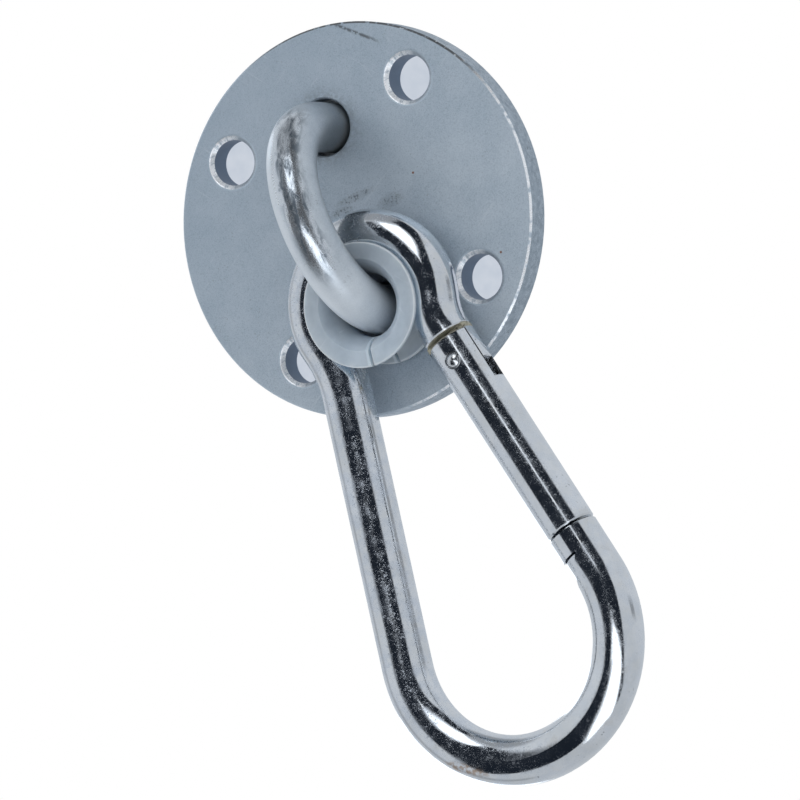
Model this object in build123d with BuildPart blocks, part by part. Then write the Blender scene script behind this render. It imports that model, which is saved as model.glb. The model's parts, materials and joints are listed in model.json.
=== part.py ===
from build123d import *
from math import atan2, cos, degrees, hypot, radians, sin, sqrt
import os

# Wall-mounted hammock hook: a round plate with a welded bow, a nylon bush that rides on the bow,
# and a spring-gated snap hook that hangs in the bush. Millimetres.
# The origin is the centre of the plate's back face, +Z is up and the front faces -Y.

# Mounting plate
plate_diameter = 80.0
plate_thickness = 5.7
plate_edge_chamfer = 0.4
screw_hole_inset = 9.25
screw_hole_count = 4
screw_hole_first_angle = 45.0
screw_hole_diameter = 9.3
screw_mouth_chamfer = 0.85
leg_hole_diameter = 11.7
leg_hole_edge_chamfer = 0.3

# Bow, a round bar bent to a U and welded into the plate from behind
bow_bar_diameter = 10.16
bow_half_spacing = 20.0
bow_straight_reach = 3.0
bow_side_offset = 0.4
leg_end_below_back = 0.3
weld_countersink_depth = 1.6
weld_countersink_growth = 1.5

# Where the bush sits on the bow, seen from the side, and how the hook hangs in it
seat_angle = 12.5
seat_inset = 0.13
eye_side_offset = 0.9
hook_roll = 2.65

# Snap hook, its centreline and bar
hook_bar_diameter = 10.3
eye_radius = 13.8
eye_to_bend = 74.3
bend_radius = 24.0
limb_lean = 10.9
left_neck_radius = 27.0
right_neck_radius = 15.0

# Latch's stations on the gate's limb, up from the end of the bend, and the hinge's, down from the neck
ledge_station = 4.6
seam_station = 9.7
shoulder_below_neck = 1.275
pivot_below_shoulder = 6.0
slot_floor_below_shoulder = 13.1

# Latch
seam_gap = 0.4
latch_edge_chamfer = 0.3
jaw_slot_width = 3.8
jaw_slot_depth_past_middle = 2.2
latch_side_gap = 0.3
ledge_gap = 0.36
pocket_length = 6.6
pocket_floor_past_middle = 0.2
head_set_back = 0.45

# Hinge end of the gate
shoulder_gap = 1.0
gate_corner_radius = 3.2
fork_slot_width = 4.2
tang_thickness = 3.6
tang_outer_reach = 2.1
cam_radius = 4.65
cam_offset = 1.8
rivet_diameter = 3.6
rivet_end_edge = 0.25
rivet_dome_diameter = 2.7
rivet_dome_height = 0.55
pivot_clearance = 0.05

# Spring and plunger inside the gate
spring_bore_diameter = 5.2
spring_bore_depth = 20.0
plunger_head_diameter = 4.8
plunger_head_length = 3.2
plunger_stem_diameter = 2.4
plunger_stem_length = 5.0
plunger_cam_gap = 0.1
spring_wire_diameter = 0.8
spring_outer_diameter = 4.7
spring_turns = 6
spring_end_gap = 0.1

# Bush, a split spool with an hourglass bore
bush_play = 0.6
bush_fit_gap = 0.3
bush_front_reach = 6.4
bush_rear_reach = 6.3
bush_front_flange_diameter = 25.3
bush_rear_flange_diameter = 23.4
bush_bore_radius = 6.3
bush_mouth_radius = 9.3
bush_slit_width = 0.7
bush_slit_angle = -100.0
bush_edge_fillet = 0.3

# Worked out from the sizes above
screw_circle_radius = plate_diameter / 2 - screw_hole_inset
bow_bar_radius = bow_bar_diameter / 2
bow_arc_y = -plate_thickness - bow_straight_reach
hook_bar_radius = hook_bar_diameter / 2
seat_radius = bow_half_spacing - seat_inset
eye_y = bow_arc_y - seat_radius * sin(radians(seat_angle))
eye_z = bush_play * cos(radians(hook_roll)) - seat_radius * cos(radians(seat_angle))
limb_offset = bend_radius - eye_to_bend * sin(radians(limb_lean))
front = Vector(0, -1, 0)
hook_plane = Plane(
    origin=(eye_side_offset, eye_y, eye_z),
    x_dir=(cos(radians(hook_roll)), 0, sin(radians(hook_roll))),
    z_dir=front,
)
bush_plane = hook_plane.shift_origin(hook_plane.from_local_coords((0, -bush_play, 0)))


def neck_drop(radius):
    """How far below the eye's centre, along the limb, a neck's arc ends on the limb's line."""
    return sqrt((eye_radius + radius) ** 2 - (limb_offset + radius) ** 2)


def neck(radius, side):
    """Centre of a neck's arc: it touches the limb's line and the eye's circle."""
    down = neck_drop(radius)
    lean = radians(limb_lean)
    out = limb_offset + radius
    return (side * (out * cos(lean) + down * sin(lean)), out * sin(lean) - down * cos(lean))


limb_length = eye_to_bend * cos(radians(limb_lean)) - neck_drop(right_neck_radius)
shoulder_station = limb_length - shoulder_below_neck
pivot_station = shoulder_station - pivot_below_shoulder
slot_floor_station = shoulder_station - slot_floor_below_shoulder
gate_length_end = shoulder_station - shoulder_gap


def on_plane(plane, x, y, z=0):
    """A point given in a plane's own directions."""
    return plane.from_local_coords(Vector(x, y, z))


bend_centre = (0, -eye_to_bend)


def limb_spot(station):
    """A station on the centreline of the gate's limb, in the hook's plane."""
    lean = radians(limb_lean)
    return (
        bend_radius * cos(lean) - station * sin(lean),
        bend_radius * sin(lean) - eye_to_bend + station * cos(lean),
    )


limb_up = on_plane(hook_plane, -sin(radians(limb_lean)), cos(radians(limb_lean))) - hook_plane.origin
limb_plane = Plane(origin=on_plane(hook_plane, *limb_spot(0)), x_dir=limb_up, z_dir=front)
limb_axis = Axis(limb_plane.origin, limb_up)


def limb_section(station):
    """The plane across the gate's limb at a station along it."""
    return Plane(origin=on_plane(limb_plane, station, 0), x_dir=front, z_dir=limb_up)


os.makedirs("parts", exist_ok=True)

# Mounting plate with its screw holes and the two holes for the bow's legs
with BuildPart() as mounting_plate:
    with BuildSketch(Plane.XZ):
        Circle(plate_diameter / 2)
    extrude(amount=plate_thickness)
    chamfer(mounting_plate.faces().sort_by(Axis.Y)[0].edges(), plate_edge_chamfer)
    with BuildSketch(Plane.XZ):
        with PolarLocations(screw_circle_radius, screw_hole_count, screw_hole_first_angle):
            Circle(screw_hole_diameter / 2)
    extrude(amount=plate_thickness, mode=Mode.SUBTRACT)
    screw_mouths = mounting_plate.faces().sort_by(Axis.Y)[0].edges().filter_by(
        lambda edge: abs(edge.radius - screw_hole_diameter / 2) < plate_edge_chamfer
    )
    chamfer(screw_mouths, screw_mouth_chamfer)
    with BuildSketch(Plane.XZ):
        with Locations((bow_side_offset, bow_half_spacing), (bow_side_offset, -bow_half_spacing)):
            Circle(leg_hole_diameter / 2)
    extrude(amount=plate_thickness, mode=Mode.SUBTRACT)
    leg_mouths = mounting_plate.faces().sort_by(Axis.Y)[0].edges().filter_by(
        lambda edge: abs(edge.radius - leg_hole_diameter / 2) < plate_edge_chamfer
    )
    chamfer(leg_mouths, leg_hole_edge_chamfer)
    weld_mouths = mounting_plate.faces().sort_by(Axis.Y)[-1].edges().filter_by(
        lambda edge: abs(edge.radius - leg_hole_diameter / 2) < plate_edge_chamfer
    )
    chamfer(weld_mouths, weld_countersink_depth, weld_countersink_growth)
mounting_plate.part.label = "mounting_plate"
export_step(mounting_plate.part, "parts/mounting_plate.step")

# Bow
with BuildPart() as bow:
    with BuildLine() as bow_line:
        lower_leg = Line(
            (bow_side_offset, -leg_end_below_back, -bow_half_spacing),
            (bow_side_offset, bow_arc_y, -bow_half_spacing),
        )
        crown = ThreePointArc(
            lower_leg @ 1,
            (bow_side_offset, bow_arc_y - bow_half_spacing, 0),
            (bow_side_offset, bow_arc_y, bow_half_spacing),
        )
        Line(crown @ 1, (bow_side_offset, -leg_end_below_back, bow_half_spacing))
    with BuildSketch(Plane(origin=lower_leg @ 0, z_dir=lower_leg % 0)):
        Circle(bow_bar_radius)
    sweep(path=bow_line.line)
bow.part.label = "bow"
export_step(bow.part, "parts/bow.step")


def weld_profile(height):
    """Half section of a weld: a ring between the leg and the countersink, ground below the back face."""
    shrink = weld_countersink_growth / weld_countersink_depth
    inner = bow_side_offset + bow_bar_radius
    narrow = bow_side_offset + leg_hole_diameter / 2
    depth = weld_countersink_depth - leg_end_below_back
    with BuildLine(Plane.XY.offset(height)) as outline:
        Polyline(
            (inner, -leg_end_below_back),
            (narrow + depth * shrink, -leg_end_below_back),
            (narrow, -weld_countersink_depth),
            (inner, -weld_countersink_depth),
            close=True,
        )
    return outline.line


# Weld round the end of the bow's upper leg
with BuildPart() as upper_weld:
    with BuildSketch(Plane.XY.offset(bow_half_spacing)):
        make_face(weld_profile(bow_half_spacing).edges())
    revolve(axis=Axis((bow_side_offset, 0, bow_half_spacing), (0, 1, 0)))
upper_weld.part.label = "upper_weld"
export_step(upper_weld.part, "parts/upper_weld.step")

# Weld round the end of the bow's lower leg
with BuildPart() as lower_weld:
    with BuildSketch(Plane.XY.offset(-bow_half_spacing)):
        make_face(weld_profile(-bow_half_spacing).edges())
    revolve(axis=Axis((bow_side_offset, 0, -bow_half_spacing), (0, 1, 0)))
lower_weld.part.label = "lower_weld"
export_step(lower_weld.part, "parts/lower_weld.step")

# Bush: the groove follows the hook's bar, and the bore is an hourglass that lets the curved bow through
groove_centre = eye_radius - bush_play
groove_radius = hook_bar_radius + bush_fit_gap


def groove_edge(rim):
    """Distance from the groove's middle plane at which the groove meets a flange of this radius."""
    return sqrt(groove_radius ** 2 - (groove_centre - rim) ** 2)


front_rim = bush_front_flange_diameter / 2
rear_rim = bush_rear_flange_diameter / 2
bush_section = Plane(origin=bush_plane.origin, x_dir=bush_plane.x_dir, z_dir=-bush_plane.y_dir)
with BuildPart() as bush:
    with BuildSketch(bush_section) as bush_profile:
        with BuildLine():
            Line((bush_mouth_radius, bush_front_reach), (front_rim, bush_front_reach))
            Line((front_rim, bush_front_reach), (front_rim, groove_edge(front_rim)))
            ThreePointArc(
                (front_rim, groove_edge(front_rim)),
                (groove_centre - groove_radius, 0),
                (rear_rim, -groove_edge(rear_rim)),
            )
            Line((rear_rim, -groove_edge(rear_rim)), (rear_rim, -bush_rear_reach))
            Line((rear_rim, -bush_rear_reach), (bush_mouth_radius, -bush_rear_reach))
            ThreePointArc(
                (bush_mouth_radius, -bush_rear_reach),
                (bush_bore_radius, 0),
                (bush_mouth_radius, bush_front_reach),
            )
        make_face()
        rims = bush_profile.vertices().filter_by(
            lambda corner: bush_section.to_local_coords(corner).X > rear_rim - bush_edge_fillet
        )
        fillet(rims, bush_edge_fillet)
    revolve(axis=Axis(bush_plane.origin, bush_plane.z_dir))
    with BuildSketch(bush_plane):
        with PolarLocations(front_rim / 2, 1, bush_slit_angle):
            Rectangle(front_rim + bush_fit_gap, bush_slit_width)
    extrude(amount=bush_front_reach + bush_fit_gap, both=True, mode=Mode.SUBTRACT)
bush.part.label = "bush"
export_step(bush.part, "parts/bush.step")

# Tang of the hook's hinge end: a flat tongue whose end is a cam set off towards the inside of the hook
with BuildPart() as tang:
    with BuildSketch(limb_plane):
        with Locations((pivot_station, cam_offset)):
            Circle(cam_radius)
        with Locations(((pivot_station - tang_outer_reach + shoulder_station) / 2, 0)):
            Rectangle(shoulder_station - pivot_station + tang_outer_reach, hook_bar_diameter)
        make_hull()
    extrude(amount=tang_thickness / 2, both=True)
    with BuildSketch(limb_section(slot_floor_station)):
        Circle(hook_bar_radius)
    extrude(amount=shoulder_station - slot_floor_station, mode=Mode.INTERSECT)
    with BuildSketch(limb_plane):
        with Locations((pivot_station, 0)):
            Circle(rivet_diameter / 2 + pivot_clearance)
    extrude(amount=tang_thickness, both=True, mode=Mode.SUBTRACT)

# Hook body: one bent bar from the latch's nose, round the bend, up and round the eye, to the shoulder
left_neck = neck(left_neck_radius, -1)
right_neck = neck(right_neck_radius, 1)
left_neck_angle = degrees(atan2(-left_neck[1], -left_neck[0]))
right_neck_angle = degrees(atan2(-right_neck[1], right_neck[0]))
with BuildPart() as hook_body:
    with BuildLine(hook_plane) as hook_line:
        bend = CenterArc(bend_centre, bend_radius, limb_lean, -(180 + 2 * limb_lean))
        left_arc = CenterArc(left_neck, left_neck_radius, -limb_lean, limb_lean + left_neck_angle)
        eye_turn = 180 + left_neck_angle + right_neck_angle
        CenterArc((0, 0), eye_radius, 180 + left_neck_angle, -eye_turn)
        neck_turn = right_neck_angle + limb_lean
        right_arc = CenterArc(right_neck, right_neck_radius, 180 - right_neck_angle, neck_turn)
        Line(limb_spot(seam_station), bend @ 0)
        Line(bend @ 1, left_arc @ 0)
        Line(right_arc @ 1, limb_spot(shoulder_station))
    with BuildSketch(limb_section(seam_station)):
        Circle(hook_bar_radius)
    sweep(path=hook_line.wires()[0])
    bar_edges = hook_body.edges().filter_by(GeomType.CIRCLE)
    nose_edge = bar_edges.sort_by_distance(on_plane(limb_plane, seam_station, 0))[0]
    shoulder_edge = bar_edges.sort_by_distance(on_plane(limb_plane, shoulder_station, 0))[0]
    chamfer([nose_edge, shoulder_edge], latch_edge_chamfer)
    # slot between the latch's jaws, open towards the inside of the hook
    slot_bottom = ledge_station - ledge_gap - 2 * latch_side_gap
    with BuildSketch(limb_plane):
        with Locations((slot_bottom, -jaw_slot_depth_past_middle)):
            Rectangle(
                seam_station - slot_bottom + seam_gap,
                jaw_slot_depth_past_middle + hook_bar_diameter,
                align=(Align.MIN, Align.MIN),
            )
    extrude(amount=jaw_slot_width / 2, both=True, mode=Mode.SUBTRACT)
    # wedge-shaped pocket for the head of the gate, under the ledge
    with BuildSketch(limb_plane):
        with BuildLine():
            Polyline(
                (ledge_station, -pocket_floor_past_middle),
                (ledge_station, hook_bar_diameter),
                (ledge_station - pocket_length, hook_bar_diameter),
                (ledge_station - pocket_length, hook_bar_radius),
                close=True,
            )
        make_face()
    extrude(amount=hook_bar_radius, both=True, mode=Mode.SUBTRACT)
    add(tang.part)
hook_body.part.label = "hook_body"
export_step(hook_body.part, "parts/hook_body.step")

# Tongue of the gate: a blade between the jaws, and a head that fills the pocket behind them
head_top = ledge_station - ledge_gap
gate_foot = seam_station + seam_gap
pocket_slope = (hook_bar_radius + pocket_floor_past_middle) / pocket_length
head_floor = latch_side_gap * hypot(1, pocket_slope) - pocket_floor_past_middle
head_length = (hook_bar_radius - head_floor) / pocket_slope
with BuildPart() as tongue:
    with BuildSketch(limb_plane):
        with Locations((head_top - latch_side_gap, latch_side_gap - jaw_slot_depth_past_middle)):
            Rectangle(
                gate_foot - head_top + 2 * latch_side_gap,
                jaw_slot_depth_past_middle - latch_side_gap + hook_bar_radius,
                align=(Align.MIN, Align.MIN),
            )
    extrude(amount=jaw_slot_width / 2 - latch_side_gap, both=True)
    with BuildSketch(limb_plane):
        with BuildLine():
            Polyline(
                (head_top, head_floor + ledge_gap * pocket_slope),
                (head_top, hook_bar_radius),
                (head_top + ledge_gap - head_length, hook_bar_radius),
                close=True,
            )
        make_face()
    extrude(amount=hook_bar_radius, both=True)
    with BuildSketch(limb_section(ledge_station - pocket_length)):
        Circle(hook_bar_radius - head_set_back)
    extrude(amount=gate_foot - ledge_station + pocket_length + latch_side_gap, mode=Mode.INTERSECT)

# Gate: a round bar with a fork at its hinge end and a bore for the spring
with BuildPart() as gate:
    with BuildSketch(limb_section(gate_foot)):
        Circle(hook_bar_radius)
    extrude(amount=gate_length_end - gate_foot)
    chamfer(gate.edges().filter_by(GeomType.CIRCLE), latch_edge_chamfer)
    with BuildSketch(limb_plane) as gate_side:
        with Locations((gate_foot, 0)):
            Rectangle(gate_length_end - gate_foot, hook_bar_diameter, align=(Align.MIN, Align.CENTER))
        fillet(gate_side.vertices().sort_by(Axis.Y)[-2:].sort_by(Axis.X)[-1], gate_corner_radius)
    extrude(amount=hook_bar_radius, both=True, mode=Mode.INTERSECT)
    with BuildSketch(limb_plane):
        with Locations((slot_floor_station, 0)):
            Rectangle(slot_floor_below_shoulder, 2 * hook_bar_diameter, align=(Align.MIN, Align.CENTER))
    extrude(amount=fork_slot_width / 2, both=True, mode=Mode.SUBTRACT)
    # the bore for the spring is drilled from the hinge end, so it also grooves the fork's cheeks
    with BuildSketch(limb_section(slot_floor_station - spring_bore_depth)):
        Circle(spring_bore_diameter / 2)
    extrude(amount=gate_length_end - slot_floor_station + spring_bore_depth, mode=Mode.SUBTRACT)
    with BuildSketch(limb_plane):
        with Locations((pivot_station, 0)):
            Circle(rivet_diameter / 2)
    extrude(amount=hook_bar_radius, both=True, mode=Mode.SUBTRACT)
    add(tongue.part)
gate.part.label = "gate"
export_step(gate.part, "parts/gate.step")

# Rivet: it turns in the tang and is fast in the gate's cheeks, with a domed end on each side
rivet_section = Plane(origin=on_plane(limb_plane, pivot_station, 0), x_dir=limb_up, z_dir=-limb_plane.y_dir)
rivet_radius = rivet_diameter / 2
rivet_reach = hook_bar_radius - rivet_end_edge / 2
with BuildPart() as gate_rivet:
    with BuildSketch(rivet_section):
        with BuildLine():
            Line((0, -rivet_reach - rivet_dome_height), (0, rivet_reach + rivet_dome_height))
            RadiusArc(
                (0, rivet_reach + rivet_dome_height),
                (rivet_dome_diameter / 2, rivet_reach),
                (rivet_dome_diameter ** 2 / 4 + rivet_dome_height ** 2) / (2 * rivet_dome_height),
            )
            Polyline(
                (rivet_dome_diameter / 2, rivet_reach),
                (rivet_radius - rivet_end_edge, rivet_reach),
                (rivet_radius, rivet_reach - rivet_end_edge),
                (rivet_radius, -rivet_reach + rivet_end_edge),
                (rivet_radius - rivet_end_edge, -rivet_reach),
                (rivet_dome_diameter / 2, -rivet_reach),
            )
            RadiusArc(
                (rivet_dome_diameter / 2, -rivet_reach),
                (0, -rivet_reach - rivet_dome_height),
                (rivet_dome_diameter ** 2 / 4 + rivet_dome_height ** 2) / (2 * rivet_dome_height),
            )
        make_face()
    revolve(axis=Axis(rivet_section.origin, rivet_section.y_dir))
gate_rivet.part.label = "gate_rivet"
export_step(gate_rivet.part, "parts/gate_rivet.step")

# Plunger: its flat head follows the tang's cam, and its stem centres the spring
plunger_top = pivot_station - cam_radius - plunger_cam_gap
plunger_shelf = plunger_top - plunger_head_length
with BuildPart() as spring_plunger:
    with BuildSketch(limb_plane):
        with BuildLine():
            Polyline(
                (plunger_top, 0),
                (plunger_top, plunger_head_diameter / 2),
                (plunger_shelf, plunger_head_diameter / 2),
                (plunger_shelf, plunger_stem_diameter / 2),
                (plunger_shelf - plunger_stem_length, plunger_stem_diameter / 2),
                (plunger_shelf - plunger_stem_length, 0),
                close=True,
            )
        make_face()
    revolve(axis=limb_axis)
spring_plunger.part.label = "spring_plunger"
export_step(spring_plunger.part, "parts/spring_plunger.step")

# Spring between the plunger's head and the floor of the bore
spring_bottom = slot_floor_station - spring_bore_depth + spring_wire_diameter / 2 + spring_end_gap
spring_top = plunger_shelf - spring_wire_diameter / 2 - spring_end_gap
with BuildPart() as gate_spring:
    with BuildLine() as coil:
        Helix(
            pitch=(spring_top - spring_bottom) / spring_turns,
            height=spring_top - spring_bottom,
            radius=(spring_outer_diameter - spring_wire_diameter) / 2,
            center=on_plane(limb_plane, spring_bottom, 0),
            direction=limb_up,
        )
    with BuildSketch(Plane(origin=coil.line @ 0, z_dir=coil.line % 0)):
        Circle(spring_wire_diameter / 2)
    sweep(path=coil.line, is_frenet=True)
gate_spring.part.label = "gate_spring"
export_step(gate_spring.part, "parts/gate_spring.step")
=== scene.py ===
import json

import bpy
import numpy as np
from mathutils import Matrix, Vector

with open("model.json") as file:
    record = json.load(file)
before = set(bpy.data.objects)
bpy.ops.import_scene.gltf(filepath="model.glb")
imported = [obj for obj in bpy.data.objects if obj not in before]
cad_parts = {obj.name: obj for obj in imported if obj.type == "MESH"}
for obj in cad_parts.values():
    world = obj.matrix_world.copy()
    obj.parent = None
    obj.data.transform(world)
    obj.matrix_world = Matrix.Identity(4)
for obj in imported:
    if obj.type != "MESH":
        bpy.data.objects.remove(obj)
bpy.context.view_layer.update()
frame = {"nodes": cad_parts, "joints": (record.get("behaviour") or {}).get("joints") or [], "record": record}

# Looks of the hammock hook: materials for the ten CAD nodes, a pale floor, soft light and a camera.
# Lengths in the materials are millimetres, worked out from Object coordinates.

NODES = frame["nodes"]
MM = 1000.0

# Camera, from a fit to the plate's rim, its holes and the bow, in metres
CAMERA_AT = Vector((0.78448, -1.61191, -0.37997))
CAMERA_RIGHT = Vector((0.81618, 0.47188, -0.33344))
CAMERA_UP = Vector((0.38262, -0.00898, 0.92386))
CAMERA_FORWARD = Vector((-0.43296, 0.88162, 0.18788))
CAMERA_LENS = 407.657
SENSOR_WIDTH = 36.0

# Stage, in metres
FLOOR_Z = -0.45
FLOOR_REACH = 3.0
CARD_Y = 0.0004
CARD_RADIUS = 0.038
CARD_SIDES = 96
LAMP_AIM = Vector((0.0, -0.013, -0.05))
LAMP_SIZE = 1.2

# Places from the frame's joints and mounts, in millimetres
JOINTS = {joint["name"]: joint for joint in frame["joints"]}
MOUNTS = {mount["name"]: mount["dims"] for mount in frame["record"]["mounts"]}
BOW_CENTRE = Vector(JOINTS["bush_travel"]["pos_m"]) * MM
BUSH_CENTRE = Vector(JOINTS["hook_swing"]["pos_m"]) * MM
PIVOT = Vector(JOINTS["gate_swing"]["pos_m"]) * MM
LIMB_UP = -Vector(JOINTS["plunger_slide"]["axis"])
LIMB_ACROSS = Vector((LIMB_UP.z, 0.0, -LIMB_UP.x))
HOLE_OFFSET = MOUNTS["screw_holes"]["pcd_mm"] / 2.0 * np.sqrt(0.5)
HOLE_RADIUS = MOUNTS["screw_holes"]["hole_r_mm"]

# Sizes repeated from the CAD source, in millimetres
PLATE_RADIUS = 40.0
PLATE_FRONT = -5.7
MOUTH_RADIUS = HOLE_RADIUS + 0.85
BOW_LEG_Z = 20.0
SHOULDER = PIVOT.dot(LIMB_UP) + 6.0
SHOULDER_GAP = 1.0
BUSH_FRONT_RADIUS = 12.65
BUSH_REAR_RADIUS = 11.7
BUSH_FRONT = BUSH_CENTRE.y - 6.4
BUSH_REAR = BUSH_CENTRE.y + 6.3
SLIT_ANGLE = np.radians(-100.0)
SLIT_ACROSS = Vector((-np.sin(SLIT_ANGLE), 0.0, np.cos(SLIT_ANGLE)))
SLIT_HALF_WIDTH = 0.35

# Marks on the plate and the hook, as x and z in millimetres
SCUFFS = ((1.8, 4.1, 4.6, 0.9), (8.8, 0.3, 3.2, 1.5), (-2.2, 2.4, 2.6, 1.3))
RUST_DOTS = ((28.0, -19.05), (15.7, 3.5))
SCRATCH_TOP = (10.7, 38.1)
SCRATCH_SLOPE = 0.9
STAIN_AT = (-12.5, -113.8)
STAIN_SLOPE = 0.6


class Net:
    """Adds nodes to one node tree. An input is a socket to link or a value to set."""

    def __init__(self, tree):
        self.tree = tree
        tree.nodes.clear()

    def node(self, kind, inputs=None, **settings):
        made = self.tree.nodes.new(kind)
        for name, value in settings.items():
            setattr(made, name, value)
        for key, value in (inputs or {}).items():
            self.feed(made.inputs[key], value)
        return made

    def feed(self, socket, value):
        """Links a socket or sets a value. A colour is given as red, green and blue, and is opaque."""
        if isinstance(value, bpy.types.NodeSocket):
            self.tree.links.new(value, socket)
        elif socket.type == "RGBA":
            socket.default_value = (*value, 1.0)
        else:
            socket.default_value = value

    def math(self, operation, a, b=0.0, clamp=False):
        return self.node("ShaderNodeMath", {0: a, 1: b}, operation=operation, use_clamp=clamp).outputs[0]

    def chain(self, operation, first, rest):
        for value in rest:
            first = self.math(operation, first, value)
        return first

    def plus(self, first, *rest):
        return self.chain("ADD", first, rest)

    def minus(self, first, *rest):
        return self.chain("SUBTRACT", first, rest)

    def times(self, first, *rest):
        return self.chain("MULTIPLY", first, rest)

    def most(self, first, *rest):
        return self.chain("MAXIMUM", first, rest)

    def ramp(self, shape, value, low, high, out_low, out_high):
        inputs = {"Value": value, "From Min": low, "From Max": high, "To Min": out_low, "To Max": out_high}
        return self.node("ShaderNodeMapRange", inputs, interpolation_type=shape).outputs["Result"]

    def step(self, value, low, high, out_low=0.0, out_high=1.0):
        """A smooth step from low to high."""
        return self.ramp("SMOOTHSTEP", value, low, high, out_low, out_high)

    def line(self, value, low, high, out_low=0.0, out_high=1.0):
        """A straight, clamped ramp."""
        return self.ramp("LINEAR", value, low, high, out_low, out_high)

    def mix(self, factor, a, b):
        """A blend of two colours."""
        made = self.node("ShaderNodeMix", data_type="RGBA")
        for index, value in ((0, factor), (6, a), (7, b)):
            self.feed(made.inputs[index], value)
        return made.outputs[2]

    def lay(self, base, mask, amount, colour):
        """A colour laid over a base where a mask is, by an amount of it."""
        return self.mix(self.times(mask, amount), base, colour)

    def vector(self, operation, a, b=(0.0, 0.0, 0.0)):
        return self.node("ShaderNodeVectorMath", {0: a, 1: b}, operation=operation).outputs[0]

    def scaled(self, vector, factor):
        return self.node("ShaderNodeVectorMath", {0: vector, "Scale": factor}, operation="SCALE").outputs[0]

    def dot(self, a, b):
        return self.node("ShaderNodeVectorMath", {0: a, 1: b}, operation="DOT_PRODUCT").outputs["Value"]

    def far(self, *offsets):
        """The length of a vector given by its parts."""
        return self.math("SQRT", self.plus(*[self.times(part, part) for part in offsets]))

    def off(self, value, middle):
        """How far a value is from a middle."""
        return self.math("ABSOLUTE", self.minus(value, middle))

    def noise(self, vector, scale, detail=2.0, roughness=0.5, distortion=0.0):
        inputs = {"Vector": vector, "Scale": scale, "Detail": detail}
        inputs.update({"Roughness": roughness, "Distortion": distortion})
        return self.node("ShaderNodeTexNoise", inputs).outputs[0]

    def join(self, x=0.0, y=0.0, z=0.0):
        return self.node("ShaderNodeCombineXYZ", {0: x, 1: y, 2: z}).outputs[0]

    def split(self, vector):
        return self.node("ShaderNodeSeparateXYZ", {0: vector}).outputs

    def group(self, tree, **inputs):
        made = self.node("ShaderNodeGroup", node_tree=tree)
        for name, value in inputs.items():
            self.feed(made.inputs[name.capitalize()], value)
        return made.outputs

    def bump(self, height, strength, distance):
        inputs = {"Height": height, "Strength": strength, "Distance": distance}
        return self.node("ShaderNodeBump", inputs).outputs[0]


def new_group(name, values, outputs):
    """An empty shared group with a Place, named values and named outputs: its tree, net and sockets."""
    tree = bpy.data.node_groups.new(name, "ShaderNodeTree")
    net = Net(tree)
    tree.interface.new_socket(name="Place", in_out="INPUT", socket_type="NodeSocketVector")
    for label, default in values.items():
        socket = tree.interface.new_socket(name=label, in_out="INPUT", socket_type="NodeSocketFloat")
        socket.default_value = default
    for label in outputs:
        tree.interface.new_socket(name=label, in_out="OUTPUT", socket_type="NodeSocketFloat")
    entry = tree.nodes.new("NodeGroupInput")
    leave = tree.nodes.new("NodeGroupOutput")
    return tree, net, entry.outputs, leave.inputs


# Shared effects

def make_specks():
    """Scattered round specks, one to a cell: each cell has its own size, thinned by a coarse noise."""
    tree, net, given, out = new_group("specks", {"Size": 0.3, "Amount": 0.5}, ["Mask"])
    scale = net.math("DIVIDE", 1.0, given["Size"])
    cloud = net.node("ShaderNodeTexNoise", {"Vector": given["Place"], "Scale": net.times(scale, 0.5)})
    drift = net.scaled(cloud.outputs[1], net.times(given["Size"], 2.5))
    moved = net.vector("ADD", given["Place"], drift)
    cells = net.node("ShaderNodeTexVoronoi", {"Vector": moved, "Scale": scale}).outputs
    chance = net.split(cells["Color"])[0]
    coarse = net.noise(given["Place"], net.times(scale, 0.11), 3.0, 0.6)
    level = net.plus(given["Amount"], net.times(net.minus(coarse, 0.5), 1.6))
    size = net.math("MINIMUM", net.times(net.minus(level, chance), 0.9), 0.5)
    net.feed(out["Mask"], net.step(net.minus(size, cells["Distance"]), -0.08, 0.14))
    return tree


def make_scratches():
    """Fine straight scratches: stretched noise in three directions, broken by a coarse noise."""
    tree, net, given, out = new_group("scratches", {"Amount": 0.5}, ["Mask"])
    parts = []
    for turn, stretch, level in ((0.5, 26.0, 0.69), (-0.9, 34.0, 0.7), (1.9, 20.0, 0.71)):
        inputs = {"Vector": given["Place"], "Angle": turn}
        turned = net.node("ShaderNodeVectorRotate", inputs, rotation_type="Y_AXIS").outputs[0]
        drawn = net.vector("MULTIPLY", turned, (0.07, 0.5, 0.07 * stretch))
        parts.append(net.step(net.noise(drawn, 1.0, 1.0, 0.4), level, level + 0.05))
    broken = net.step(net.noise(given["Place"], 0.16, 2.0), 0.42, 0.62)
    net.feed(out["Mask"], net.times(net.most(*parts), given["Amount"], broken))
    return tree


def make_grain():
    """Mottled surface: a fine noise and a coarse noise, each about 0.5 in the middle."""
    tree, net, given, out = new_group("grain", {"Fine": 0.3, "Coarse": 6.0}, ["Value", "Tone"])
    net.feed(out["Value"], net.noise(given["Place"], net.math("DIVIDE", 1.0, given["Fine"]), 2.0, 0.6))
    net.feed(out["Tone"], net.noise(given["Place"], net.math("DIVIDE", 1.0, given["Coarse"]), 4.0, 0.6))
    return tree


SPECKS = make_specks()
SCRATCHES = make_scratches()
GRAIN = make_grain()


def new_material(name):
    """A material with its net and a socket that gives Object coordinates in millimetres."""
    material = bpy.data.materials.new(name)
    material.use_nodes = True
    net = Net(material.node_tree)
    place = net.vector("MULTIPLY", net.node("ShaderNodeTexCoord").outputs["Object"], (MM, MM, MM))
    return material, net, place


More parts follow.
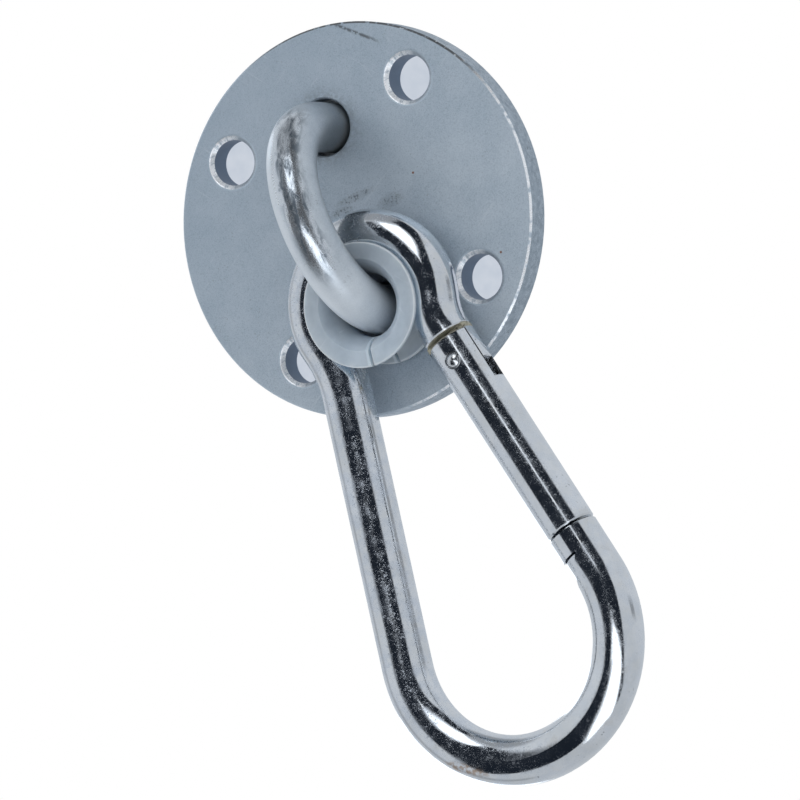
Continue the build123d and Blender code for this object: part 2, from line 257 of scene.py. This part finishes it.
def finish(net, base, roughness, normal, **sockets):
    """The Principled shader and the output. Constants sit on the shader's own sockets."""
    shader = net.node("ShaderNodeBsdfPrincipled")
    net.feed(shader.inputs["Base Color"], base)
    net.feed(shader.inputs["Roughness"], roughness)
    if normal is not None:
        net.feed(shader.inputs["Normal"], normal)
    for name, value in sockets.items():
        net.feed(shader.inputs[name.replace("_", " ")], value)
    net.node("ShaderNodeOutputMaterial", {"Surface": shader.outputs[0]})


# Plate

def plate_scuffs(net, place, x, z, front):
    """Soft oval patches round the top of the hook's eye, filled with dark flecks."""
    patches = []
    for spot_x, spot_z, half_x, half_z in SCUFFS:
        across = net.times(net.minus(x, spot_x), 1.0 / half_x)
        up = net.times(net.minus(z, spot_z), 1.0 / half_z)
        patches.append(net.step(net.far(across, up), 1.3, 0.4))
    flecks = net.step(net.noise(place, 2.2, 4.0, 0.7), 0.5, 0.62)
    return net.times(net.most(*patches), front, net.plus(net.times(flecks, 0.8), 0.2))


def plate_top_scratch(net, place, x, z, front):
    """One broken dark line that slants from the top rim inwards."""
    start_x, start_z = SCRATCH_TOP
    line_z = net.minus(start_z, net.times(net.minus(x, start_x), SCRATCH_SLOPE))
    broken = net.step(net.noise(place, 1.2, 3.0), 0.34, 0.52)
    ends = net.times(net.step(x, 9.6, 11.2), net.step(x, 19.5, 16.0))
    return net.times(net.step(net.off(z, line_z), 0.7, 0.1), ends, broken, front)


def plate_leg_shade(net, place, x, z, front):
    """Painted shade in patches round the bow's two legs, where they meet the plate."""
    leg = net.minus(net.math("ABSOLUTE", z), BOW_LEG_Z)
    from_leg = net.far(net.minus(x, BOW_CENTRE.x), leg)
    halo = net.step(net.plus(from_leg, net.times(net.noise(place, 0.5, 3.0), 4.0)), 11.5, 6.8)
    return net.times(halo, front, net.step(net.noise(place, 1.1, 4.0), 0.34, 0.58))


def plate_rim(net, place, base, x, y, z):
    """The rim: worn bright at the lower right, dirty at the upper right, with a spotted side."""
    radius = net.far(x, z)
    edge = net.step(radius, PLATE_RADIUS - 0.45, PLATE_RADIUS - 0.35)
    side = net.times(
        net.step(radius, PLATE_RADIUS - 0.1, PLATE_RADIUS - 0.02),
        net.step(y, PLATE_FRONT + 0.35, PLATE_FRONT + 0.5),
    )
    lower_right = net.step(net.minus(net.times(x, 0.9), net.times(z, 0.35)), 6.0, 18.0)
    upper_right = net.step(net.plus(net.times(x, 0.5), z), 30.0, 40.0)
    worn = net.times(net.step(net.noise(place, 0.55, 3.0), 0.38, 0.52), lower_right)
    grime = net.times(upper_right, net.step(net.noise(place, 0.8, 3.0), 0.3, 0.45))
    edge_colour = net.mix(grime, net.mix(worn, base, (0.95, 0.97, 1.0)), (0.12, 0.13, 0.14))
    patches = net.step(net.noise(place, 0.9, 4.0, 0.6), 0.35, 0.66)
    spots = net.group(SPECKS, place=place, size=0.8, amount=0.2)["Mask"]
    side_colour = net.mix(patches, (0.27, 0.33, 0.39), (0.38, 0.45, 0.52))
    side_colour = net.lay(side_colour, spots, 0.5, (0.07, 0.08, 0.08))
    return net.mix(side, net.mix(edge, base, edge_colour), side_colour), net.times(edge, worn)


def plate_holes(net, base, tone, x, y, z):
    """Hole mouths with tool marks, with a painted highlight on the side that the lamp reaches and painted
    shade on the far side, and walls darkened with painted shade.
    """
    across = net.minus(x, net.times(net.math("SIGN", x), HOLE_OFFSET))
    along = net.minus(z, net.times(net.math("SIGN", z), HOLE_OFFSET))
    mouth = net.step(net.far(across, along), MOUTH_RADIUS + 0.05, MOUTH_RADIUS - 0.05)
    wall = net.times(mouth, net.step(y, PLATE_FRONT + 0.8, PLATE_FRONT + 0.95))
    turn = net.math("ARCTAN2", along, across)
    marks = net.noise(net.join(net.times(turn, 5.0), net.times(y, 0.8)), 1.0, 3.0, 0.7)
    # painted highlight on the lamp's side of each mouth, painted shade on the far side
    lit = net.step(net.minus(across, net.times(along, 0.35)), 2.5, -2.0)
    shaded = net.mix(marks, (0.26, 0.32, 0.38), (0.6, 0.66, 0.72))
    bright = net.mix(net.step(marks, 0.36, 0.56), (0.5, 0.56, 0.62), (0.97, 0.98, 1.0))
    base = net.mix(mouth, base, net.mix(lit, shaded, bright))
    # painted shade: the hole walls are coloured dark
    base = net.mix(wall, base, net.mix(tone, (0.1, 0.14, 0.2), (0.2, 0.26, 0.34)))
    return base, mouth, wall, marks


def plate_material():
    """Dull blue-grey zinc: grain, specks, scuffs and a worn rim, with painted shade towards the upper left,
    round the bow's legs and on the hole walls, and hole mouths with a painted highlight on one side.
    """
    material, net, place = new_material("plate_zinc")
    x, y, z = net.split(place)
    grain = net.group(GRAIN, place=place, fine=0.2, coarse=9.0)
    specks = net.group(SPECKS, place=place, size=0.4, amount=0.22)["Mask"]
    scratches = net.group(SCRATCHES, place=place, amount=0.5)["Mask"]
    front = net.step(y, PLATE_FRONT + 0.6, PLATE_FRONT + 0.3)
    scuffs = plate_scuffs(net, place, x, z, front)

    # painted shade: the plate's colour grows darker towards the upper left
    shade = net.line(net.minus(z, net.times(x, 0.6)), -20.0, 45.0, 0.0, 0.4)
    base = net.mix(net.line(grain["Tone"], 0.35, 0.65), (0.4, 0.485, 0.57), (0.49, 0.57, 0.65))
    base = net.mix(net.line(grain["Value"], 0.35, 0.7, 0.0, 0.45), base, (0.69, 0.76, 0.82))
    base = net.mix(net.line(grain["Value"], 0.42, 0.3, 0.0, 0.35), base, (0.22, 0.27, 0.32))
    base = net.mix(shade, base, (0.28, 0.36, 0.45))
    base = net.lay(base, specks, 0.35, (0.16, 0.19, 0.22))
    base = net.lay(base, scratches, 0.4, (0.72, 0.77, 0.82))
    base = net.lay(base, scuffs, 0.75, (0.07, 0.08, 0.1))
    base = net.lay(base, plate_top_scratch(net, place, x, z, front), 0.8, (0.08, 0.09, 0.1))
    # painted shade round the bow's legs
    base = net.lay(base, plate_leg_shade(net, place, x, z, front), 0.4, (0.13, 0.15, 0.17))
    base, worn = plate_rim(net, place, base, x, y, z)
    base, mouth, wall, marks = plate_holes(net, base, grain["Tone"], x, y, z)
    for dot_x, dot_z in RUST_DOTS:
        dot = net.step(net.far(net.minus(x, dot_x), net.minus(z, dot_z)), 0.34, 0.14)
        base = net.lay(base, dot, front, (0.22, 0.09, 0.04))

    rough = net.line(grain["Value"], 0.3, 0.7, 0.56, 0.46)
    rough = net.minus(rough, net.times(scuffs, 0.1), net.times(worn, 0.25))
    rough = net.minus(rough, net.times(net.math("SUBTRACT", mouth, wall, clamp=True), 0.2))
    height = net.plus(net.times(grain["Value"], 0.8), net.times(scratches, -0.5))
    height = net.plus(height, net.times(marks, mouth, 1.5))
    finish(net, base, rough, net.bump(height, 0.3, 0.00004), Metallic=0.5)
    return material


# Bow and welds

def bow_material():
    """Satin zinc on a bent bar, polished in streaks along the front where the bush slides."""
    material, net, place = new_material("bow_zinc")
    x, y, z = net.split(place)
    grain = net.group(GRAIN, place=place, fine=0.28, coarse=5.0)
    specks = net.group(SPECKS, place=place, size=0.45, amount=0.3)["Mask"]

    # the bar's bend, as a radius and a turn about the centre of the bow's arc
    reach = net.minus(BOW_CENTRE.y, y)
    radius = net.far(reach, z)
    turn = net.math("ARCTAN2", z, reach)
    bar = net.join(net.times(x, 0.7), net.times(radius, 0.7), net.times(turn, 5.5))
    streaks = net.noise(bar, 1.0, 5.0, 0.65, 0.4)
    outside = net.times(net.step(radius, 20.0, 23.5), net.step(reach, -1.0, 6.0))
    facing = net.times(net.step(x, -3.0, 0.2), net.step(x, 5.2, 3.2))
    polished = net.times(outside, facing, net.step(turn, -0.75, -0.35), net.step(turn, 1.2, 0.95))
    worn = net.times(polished, net.step(streaks, 0.38, 0.54))
    # painted reflection: dark flecks in the polished streaks, standing for a dark reflection
    marks = net.times(polished, net.step(x, -1.2, 1.0), net.step(streaks, 0.5, 0.38))

    base = net.mix(net.line(grain["Tone"], 0.35, 0.65), (0.42, 0.48, 0.54), (0.53, 0.585, 0.64))
    base = net.mix(net.line(grain["Value"], 0.35, 0.7, 0.0, 0.35), base, (0.72, 0.77, 0.82))
    base = net.lay(base, specks, 0.35, (0.12, 0.14, 0.16))
    base = net.lay(base, marks, 0.75, (0.07, 0.09, 0.115))
    # painted light: the bow's left side is coloured paler, as if lit more
    left = net.times(net.step(x, 0.3, -2.5), net.step(radius, 19.0, 22.0))
    base = net.lay(base, left, 0.5, (0.8, 0.85, 0.9))
    base = net.lay(base, worn, 0.8, (0.74, 0.77, 0.8))
    # painted shade: dark streaks on the right flank of the bar
    right = net.times(net.step(x, -0.3, 1.4), net.step(x, 5.2, 3.8))
    right = net.times(right, net.step(turn, 1.3, 1.0), net.step(turn, -0.3, 0.3))
    right = net.times(right, net.step(streaks, 0.62, 0.44))
    base = net.lay(base, right, 0.5, (0.1, 0.12, 0.14))

    # painted shade on the legs, on the inside of the bow and in patches at the feet, and a pale lower bend
    base = net.lay(base, net.step(y, -20.0, -9.0), 0.7, (0.13, 0.16, 0.19))
    base = net.lay(base, net.step(radius, 20.5, 17.0), 0.6, (0.08, 0.09, 0.095))
    lower = net.times(net.step(turn, -0.4, -0.9), net.step(radius, 19.0, 22.0))
    base = net.lay(base, lower, 0.4, (0.85, 0.9, 0.95))
    foot_shade = net.times(net.step(y, -9.0, -6.0), net.step(net.noise(place, 0.6, 4.0), 0.35, 0.65))
    base = net.lay(base, foot_shade, 0.5, (0.16, 0.17, 0.18))

    rough = net.minus(net.line(grain["Value"], 0.3, 0.7, 0.46, 0.36), net.times(worn, 0.25))
    height = net.plus(net.times(grain["Value"], 0.7), net.times(streaks, polished, 1.6))
    metal = net.plus(0.42, net.times(polished, 0.45))
    finish(net, base, rough, net.bump(height, 0.35, 0.00008), Metallic=metal)
    return material


def weld_material():
    """Weld metal ground flat: swirled grinding marks, brown heat tint and pores."""
    material, net, place = new_material("weld_metal")
    grain = net.group(GRAIN, place=place, fine=0.4, coarse=2.0)
    pores = net.group(SPECKS, place=place, size=0.6, amount=0.4)["Mask"]
    swirl = net.noise(net.vector("MULTIPLY", place, (0.25, 1.0, 3.0)), 1.4, 3.0, 0.6, 0.6)
    base = net.mix(net.line(grain["Tone"], 0.35, 0.65), (0.4, 0.39, 0.37), (0.58, 0.6, 0.62))
    base = net.mix(net.line(swirl, 0.4, 0.6, 0.0, 0.4), base, (0.7, 0.72, 0.74))
    base = net.lay(base, pores, 0.7, (0.12, 0.11, 0.1))
    rough = net.line(swirl, 0.35, 0.65, 0.5, 0.34)
    finish(net, base, rough, net.bump(net.minus(swirl, pores), 0.5, 0.0001), Metallic=0.9)
    return material


# Hook, gate and bush

def hook_stain(net, place, x, z):
    """A patchy brown stain that slants across the low part of the bend."""
    stain_x, stain_z = STAIN_AT
    across = net.minus(x, stain_x)
    up = net.plus(net.minus(z, stain_z), net.times(across, STAIN_SLOPE))
    oval = net.step(net.far(net.times(across, 0.2), net.times(up, 0.75)), 1.2, 0.5)
    return net.times(oval, net.step(net.noise(place, 0.9, 3.0), 0.38, 0.58))


def shoulder_band(net, place):
    """The band between the gate's upper end and the shoulder above it."""
    along = net.dot(place, LIMB_UP)
    across = net.off(net.dot(place, LIMB_ACROSS), PIVOT.dot(LIMB_ACROSS))
    return net.times(
        net.step(along, SHOULDER - SHOULDER_GAP - 0.15, SHOULDER - SHOULDER_GAP + 0.05),
        net.step(along, SHOULDER + 0.12, SHOULDER - 0.02),
        net.step(across, 6.5, 5.5),
    )


def hook_material():
    """Bright zinc: a mirror with matte specks and tiny pits, faint tints, and a brown hinge shoulder."""
    material, net, place = new_material("hook_zinc")
    x, _, z = net.split(place)
    grain = net.group(GRAIN, place=place, fine=0.35, coarse=8.0)
    haze = net.times(net.step(x, 9.0, -2.0, 0.62, 1.0), net.step(z, -118.0, -100.0, 0.7, 1.0))
    small = net.group(SPECKS, place=place, size=0.22, amount=0.62)["Mask"]
    large = net.group(SPECKS, place=place, size=0.45, amount=0.5)["Mask"]
    specks = net.times(net.most(small, large), haze)
    clouds = net.times(net.step(net.noise(place, 0.42, 5.0, 0.6), 0.38, 0.64), haze)
    pits = net.group(SPECKS, place=place, size=0.7, amount=0.12)["Mask"]
    tint = net.step(net.noise(place, 0.22, 4.0, 0.6), 0.56, 0.72)
    brown = shoulder_band(net, place)

    base = net.mix(net.line(grain["Tone"], 0.38, 0.62), (0.8, 0.805, 0.8), (0.88, 0.89, 0.9))
    base = net.lay(base, net.most(specks, clouds), 0.32, (0.55, 0.64, 0.78))
    base = net.lay(base, tint, 0.2, (0.62, 0.54, 0.44))
    base = net.lay(base, pits, 0.55, (0.22, 0.22, 0.21))
    base = net.lay(base, hook_stain(net, place, x, z), 0.7, (0.42, 0.26, 0.15))
    patches = net.step(net.noise(place, 1.3, 4.0, 0.7), 0.34, 0.54)
    base = net.mix(brown, base, net.mix(patches, (0.07, 0.065, 0.05), (0.4, 0.385, 0.3)))

    rough = net.line(grain["Tone"], 0.35, 0.65, 0.05, 0.1)
    rough = net.plus(rough, net.times(specks, 0.24), net.times(clouds, 0.13), net.times(brown, 0.4))
    height = net.minus(net.times(grain["Value"], 0.35), net.times(pits, 0.8))
    metal = net.minus(1.0, net.times(brown, 0.9))
    finish(net, base, rough, net.bump(height, 0.35, 0.00003), Metallic=metal)
    return material


def bush_material():
    """Milky nylon: light passes a little way in, with faint clouds, fine scratches and pale edges."""
    material, net, place = new_material("bush_nylon")
    y = net.split(place)[1]
    grain = net.group(GRAIN, place=place, fine=0.5, coarse=4.0)
    scratches = net.group(SCRATCHES, place=place, amount=0.6)["Mask"]
    out = net.vector("SUBTRACT", place, BUSH_CENTRE)
    across, _, up = net.split(out)
    radius = net.far(across, up)
    # painted light: the slit's walls are coloured pale, like light coming through the nylon, so the narrow
    # gap doesn't show dark
    slit = net.times(
        net.step(net.off(net.dot(out, SLIT_ACROSS), 0.0), SLIT_HALF_WIDTH + 0.15, SLIT_HALF_WIDTH + 0.02),
        net.step(up, 0.0, -1.0),
    )
    front_edge = net.times(
        net.step(radius, BUSH_FRONT_RADIUS - 0.4, BUSH_FRONT_RADIUS - 0.15),
        net.step(y, BUSH_FRONT + 0.4, BUSH_FRONT + 0.1),
    )
    rear_edge = net.times(
        net.step(radius, BUSH_REAR_RADIUS - 0.4, BUSH_REAR_RADIUS - 0.15),
        net.step(y, BUSH_REAR - 1.8, BUSH_REAR - 1.5),
    )
    edges = net.most(front_edge, rear_edge)
    # painted shade: the rear flange, behind the front flange and the bar, is coloured darker
    rear = net.times(net.step(y, BUSH_CENTRE.y + 2.0, BUSH_CENTRE.y + 4.0), net.minus(1.0, edges))

    base = net.mix(net.line(grain["Tone"], 0.35, 0.65), (0.34, 0.395, 0.455), (0.41, 0.47, 0.53))
    base = net.lay(base, scratches, 0.3, (0.7, 0.75, 0.8))
    base = net.lay(base, edges, 0.4, (0.7, 0.75, 0.8))
    base = net.lay(base, rear, 0.5, (0.33, 0.38, 0.42))
    base = net.mix(slit, base, (0.46, 0.54, 0.61))
    rough = net.line(grain["Value"], 0.3, 0.7, 0.36, 0.46)
    height = net.plus(net.times(grain["Value"], 0.4), net.times(scratches, 0.5))
    finish(net, base, rough, net.bump(height, 0.15, 0.00004), Subsurface_Weight=0.7, Subsurface_Scale=0.005,
           Subsurface_Radius=(0.9, 1.0, 1.1), IOR=1.5)
    return material


def rivet_material():
    """Bright steel, dulled by wear."""
    material, net, place = new_material("rivet_steel")
    grain = net.group(GRAIN, place=place, fine=0.2, coarse=1.5)
    specks = net.group(SPECKS, place=place, size=0.25, amount=0.5)["Mask"]
    base = net.mix(net.line(grain["Tone"], 0.35, 0.65), (0.62, 0.63, 0.64), (0.82, 0.82, 0.82))
    base = net.lay(base, specks, 0.5, (0.3, 0.3, 0.3))
    rough = net.plus(net.line(grain["Tone"], 0.35, 0.65, 0.16, 0.26), net.times(specks, 0.2))
    finish(net, base, rough, net.bump(grain["Value"], 0.3, 0.00003), Metallic=1.0)
    return material


def spring_material():
    """Drawn spring wire: dark, with fine marks and an oily sheen."""
    material, net, place = new_material("spring_steel")
    grain = net.group(GRAIN, place=place, fine=0.15, coarse=1.2)
    base = net.mix(net.line(grain["Tone"], 0.35, 0.65), (0.26, 0.26, 0.27), (0.4, 0.4, 0.41))
    rough = net.line(grain["Value"], 0.3, 0.7, 0.25, 0.38)
    finish(net, base, rough, net.bump(grain["Value"], 0.2, 0.00002), Metallic=1.0)
    return material


MATERIALS = {
    "plate_zinc": plate_material(),
    "bow_zinc": bow_material(),
    "weld_metal": weld_material(),
    "bush_nylon": bush_material(),
    "hook_zinc": hook_material(),
    "rivet_steel": rivet_material(),
    "spring_steel": spring_material(),
}
SLOTS = {part["node"]: part["material_slot"] for part in frame["record"]["subparts"]}
for node, thing in NODES.items():
    if not thing.material_slots:
        thing.data.materials.append(MATERIALS[SLOTS[node]])
    for slot in thing.material_slots:
        slot.material = MATERIALS[SLOTS[node]]


# Studio

def add_stage(name, corners, material):
    """A flat stage piece with one face."""
    mesh = bpy.data.meshes.new(name)
    mesh.from_pydata([tuple(corner) for corner in corners], [], [tuple(range(len(corners)))])
    mesh.materials.append(material)
    made = bpy.data.objects.new(name, mesh)
    bpy.context.scene.collection.objects.link(made)
    return made


def make_floor():
    """A plain pale floor, well below the hook and the camera. Reflections see the studio through it."""
    material, net, place = new_material("floor_pale")
    tone = net.mix(net.noise(place, 0.01, 3.0), (0.80, 0.80, 0.80), (0.84, 0.84, 0.84))
    finish(net, tone, 0.7, None)
    corners = [(x * FLOOR_REACH, y * FLOOR_REACH, FLOOR_Z) for x, y in ((-1, -1), (1, -1), (1, 1), (-1, 1))]
    add_stage("floor", corners, material).visible_glossy = False


def make_card():
    """A pale card close behind the plate, seen through its holes; its glow is painted shade, the grey-blue
    of a white backdrop in shadow. From behind it can't be seen.
    """
    material, net, place = new_material("card_pale")
    tone = net.mix(net.noise(place, 0.4, 3.0), (0.5, 0.56, 0.65), (0.64, 0.68, 0.75))
    # painted shade: the card glows with a fixed shaded grey-blue
    pale = net.node("ShaderNodeEmission", {"Color": tone, "Strength": 1.0}).outputs[0]
    clear = net.node("ShaderNodeBsdfTransparent").outputs[0]
    behind = net.node("ShaderNodeNewGeometry").outputs["Backfacing"]
    seen = net.node("ShaderNodeMixShader", {0: behind, 1: pale, 2: clear}).outputs[0]
    net.node("ShaderNodeOutputMaterial", {"Surface": seen})
    ring = np.linspace(0.0, 2.0 * np.pi, CARD_SIDES, endpoint=False)
    depth = np.full(CARD_SIDES, CARD_Y)
    corners = np.stack([CARD_RADIUS * np.cos(ring), depth, CARD_RADIUS * np.sin(ring)], axis=1)
    add_stage("card", corners.tolist(), material)


def make_world():
    """White to the camera. Reflections see a grey-white tent with dark openings and bright lamps.

    The tent is drawn over azimuth a = atan2(x, -y) and elevation e = asin z of a ray, in degrees.
    Each shape is the set of rays with left(e) < a < right(e), where both edges are straight runs
    between listed points."""
    world = bpy.data.worlds.new("studio")
    world.use_nodes = True
    bpy.context.scene.world = world
    net = Net(world.node_tree)
    x, y, z = net.split(net.node("ShaderNodeTexCoord").outputs["Generated"])
    azimuth = net.math("DEGREES", net.math("ARCTAN2", x, net.times(y, -1.0)))
    elevation = net.math("DEGREES", net.math("ARCSINE", z))
    height = net.line(elevation, -90.0, 90.0)

    def edge(points):
        """The azimuth of an edge, as straight runs through points of elevation and azimuth."""
        curve = net.node("ShaderNodeFloatCurve", {"Value": height})
        run = curve.mapping.curves[0]
        rows = [(-90.0, points[0][1])] + list(points) + [(90.0, points[-1][1])]
        rows = [((e + 90.0) / 180.0, (a + 180.0) / 360.0) for e, a in rows]
        run.points[0].location = rows[0]
        run.points[1].location = rows[-1]
        for row in rows[1:-1]:
            run.points.new(*row)
        for point in run.points:
            point.handle_type = "VECTOR"
        curve.mapping.update()
        return net.line(curve.outputs[0], 0.0, 1.0, -180.0, 180.0)

    def shape(left, right, low, high, soft):
        """1 inside a shape and 0 outside, with soft edges."""
        return net.times(
            net.step(net.minus(azimuth, edge(left)), -soft, soft),
            net.step(net.minus(edge(right), azimuth), -soft, soft),
            net.step(elevation, low - soft, low + soft),
            net.step(elevation, high + soft, high - soft),
        )

    dark_left = shape(
        [(-54, -10), (-50, -28), (-40, -46), (-29, -66), (-20, -59), (-10, -51), (0, -44),
         (13, -40), (16, -28), (32, -28), (46, -22), (60, -12)],
        [(-54, -4), (0, 0), (4, 6), (30, 1), (60, 4)],
        -54, 61, 2.5)
    dark_right = shape(
        [(-60, 66), (-47, 51), (-40, 47), (-30, 41), (-20, 36), (-10, 26), (-3, 16),
         (4, -2), (20, -2), (24, 26), (30, 36), (40, 48), (50, 52), (62, 52)],
        [(-60, 72), (-47, 67), (-40, 59), (-30, 50), (-20, 47), (-10, 45), (0, 47),
         (10, 52), (20, 55), (30, 64), (40, 78), (50, 100), (62, 112)],
        -58, 70, 2.5)
    lamp_low = shape(
        [(-66, -4), (-30, 3), (-8, 4), (-2, -6), (2, -8)],
        [(-66, 62), (-50, 50), (-30, 41), (-20, 35), (-10, 26), (0, 12), (3, 8)],
        -66, 2, 2.0)
    lamp_high = shape(
        [(17, 17), (21, 14), (25, 9), (32, 3), (42, 0), (60, 4)],
        [(17, 19), (21, 20), (25, 23), (32, 33), (42, 42), (60, 45)],
        18, 61, 1.6)
    lamp_back = shape(
        [(-28, -142), (-20, -150), (15, -150), (25, -148), (32, -138), (42, -122)],
        [(-28, -138), (-20, -126), (4, -126), (8, -144), (14, -145), (20, -132), (30, -118), (42, -110)],
        -26, 42, 3.0)
    dark_back = shape([(-10, 99), (60, 99)], [(-10, 118), (60, 118)], -8, 2, 3.0)
    dark_side = shape([(-60, -108), (50, -100)], [(-60, -92), (50, -84)], -55, 48, 4.0)
    dark_top = net.step(elevation, 58.0, 70.0)
    dark_front = net.most(dark_left, dark_right)

    level = net.line(elevation, -60.0, 30.0, 0.52, 0.62)
    for dark, depth in ((dark_back, 0.5), (dark_side, 0.3), (dark_top, 0.5), (dark_front, 0.985)):
        level = net.times(level, net.minus(1.0, net.times(dark, depth)))
    level = net.plus(level, net.times(net.most(lamp_low, lamp_high, lamp_back), 1.1))
    cool = net.vector("ADD", net.scaled((0.94, 1.0, 1.07), level), (0.004, 0.008, 0.016))
    path = net.node("ShaderNodeLightPath").outputs
    seen = net.mix(path["Is Glossy Ray"], (0.72, 0.735, 0.75), cool)
    seen = net.mix(net.most(path["Is Camera Ray"], path["Is Transmission Ray"]), seen, (1.0, 1.0, 1.0))
    back = net.node("ShaderNodeBackground", {"Color": seen, "Strength": 1.0})
    net.node("ShaderNodeOutputWorld", {"Surface": back.outputs[0]})


def make_lamp(name, place, power):
    """A soft square lamp aimed at the middle of the hook. It lights, but isn't seen in reflections."""
    lamp = bpy.data.lights.new(name, "AREA")
    lamp.shape = "SQUARE"
    lamp.size = LAMP_SIZE
    lamp.energy = power
    holder = bpy.data.objects.new(name, lamp)
    turn = (LAMP_AIM - Vector(place)).to_track_quat("-Z", "Y").to_matrix().to_4x4()
    holder.matrix_world = Matrix.Translation(Vector(place)) @ turn
    holder.visible_glossy = False
    bpy.context.scene.collection.objects.link(holder)


def make_camera():
    """The photograph's view."""
    camera = bpy.data.cameras.new("camera")
    camera.lens = CAMERA_LENS
    camera.sensor_width = SENSOR_WIDTH
    holder = bpy.data.objects.new("camera", camera)
    turn = Matrix((CAMERA_RIGHT, CAMERA_UP, -CAMERA_FORWARD)).transposed().to_4x4()
    holder.matrix_world = Matrix.Translation(CAMERA_AT) @ turn
    bpy.context.scene.collection.objects.link(holder)
    bpy.context.scene.camera = holder


make_floor()
make_card()
make_world()
make_lamp("key", (-0.8, -1.5, 0.55), 9.0)
make_lamp("fill", (1.5, -0.8, 0.5), 4.0)
make_camera()
bpy.context.scene.view_settings.view_transform = "Standard"
